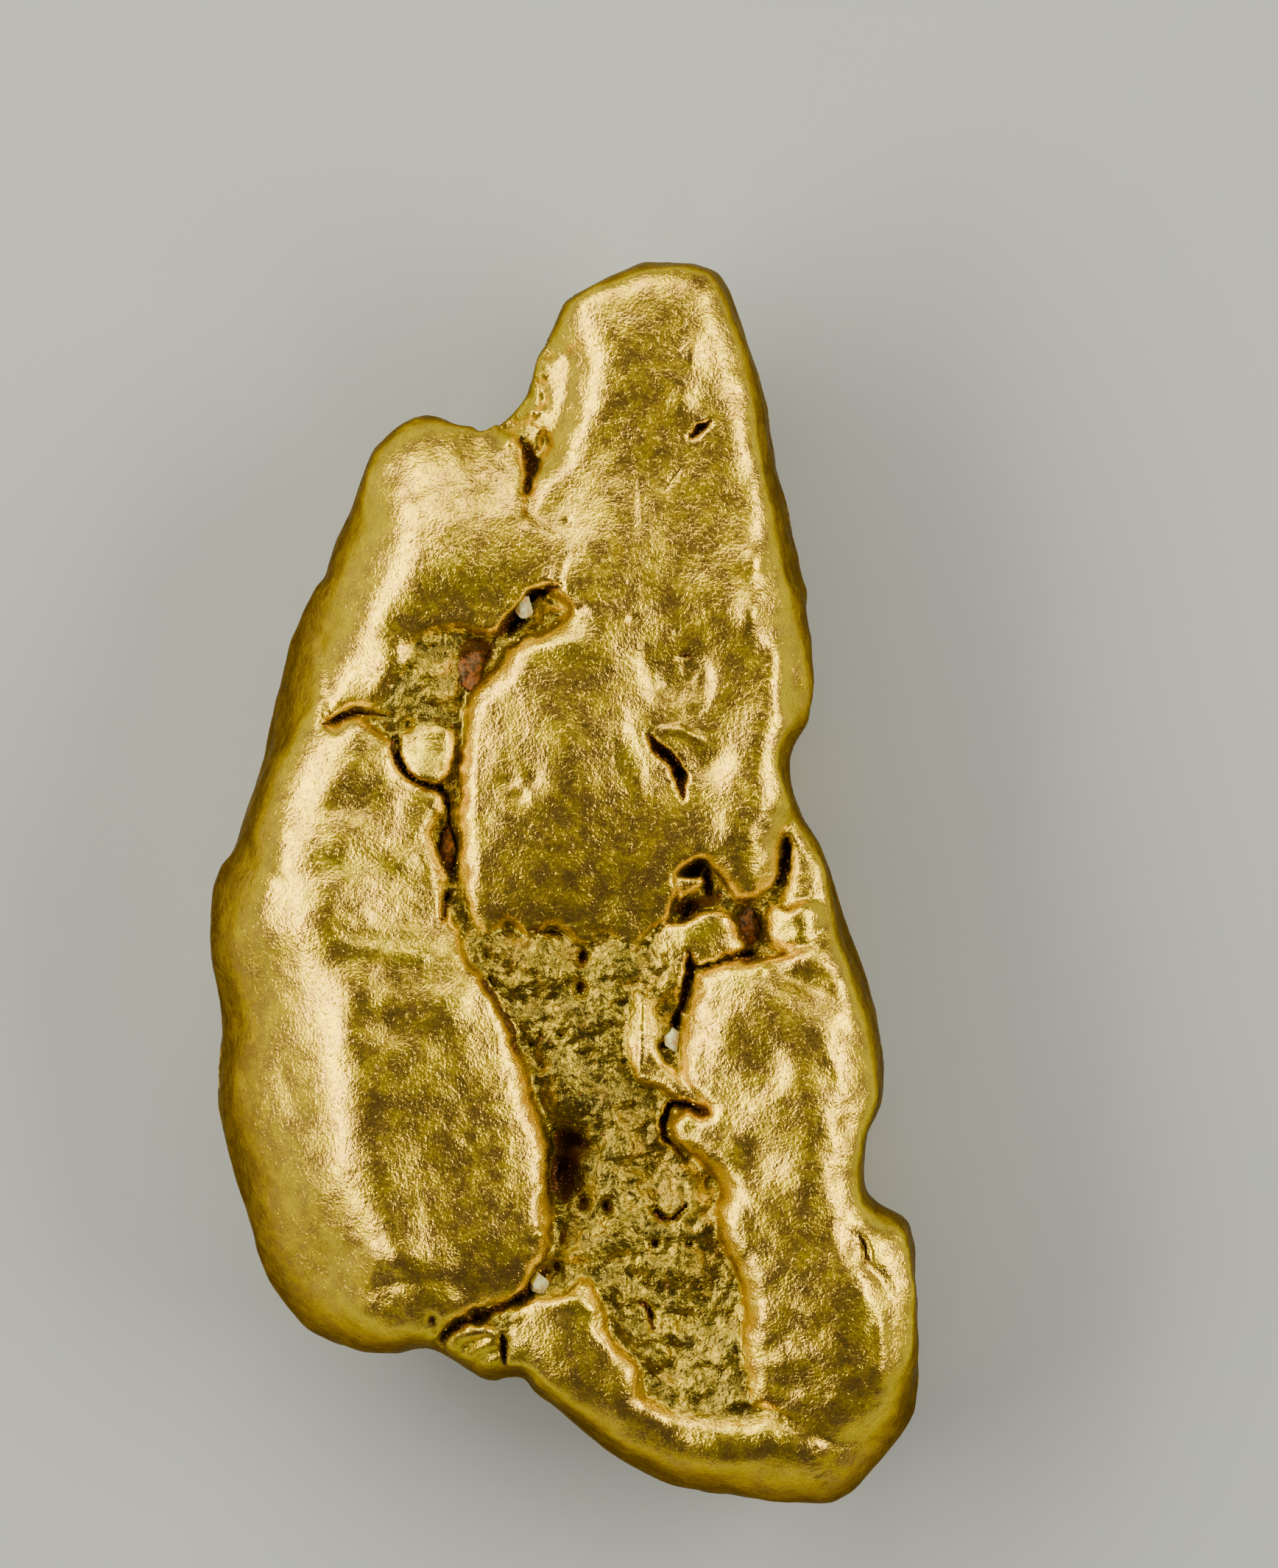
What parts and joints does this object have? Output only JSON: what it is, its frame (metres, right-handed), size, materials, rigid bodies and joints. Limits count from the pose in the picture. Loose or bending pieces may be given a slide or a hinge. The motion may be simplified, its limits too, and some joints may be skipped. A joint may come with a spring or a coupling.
{
  "type": "gold nugget",
  "caption": "Water-worn gold nugget with rounded lobes around a rough cleft, quartz and rusty vein stone caught in it, lying on a worn flat.",
  "frame": {"origin": "middle of the bounding box, on the surface the nugget lies on", "axes": "+Z out of the nugget's worn front, +Y along its length to the narrow end, +X to the right of the front"},
  "size_m": [0.0171, 0.03, 0.0077],
  "materials": {
    "gold": "native gold, satin from wear, finely dented and scratched",
    "quartz": "milky to pinkish vein quartz, broken",
    "vein_stone": "iron-stained vein stone, dull red-brown"
  },
  "bodies": {
    "root": {"gold_nugget": "gold", "quartz_grain_shoulder": "quartz", "quartz_grain_valley": "quartz", "quartz_grain_lower": "quartz", "vein_stone_pocket": "vein_stone", "vein_stone_cleft": "vein_stone", "vein_stone_crevice": "vein_stone"}
  },
  "joints": []
}
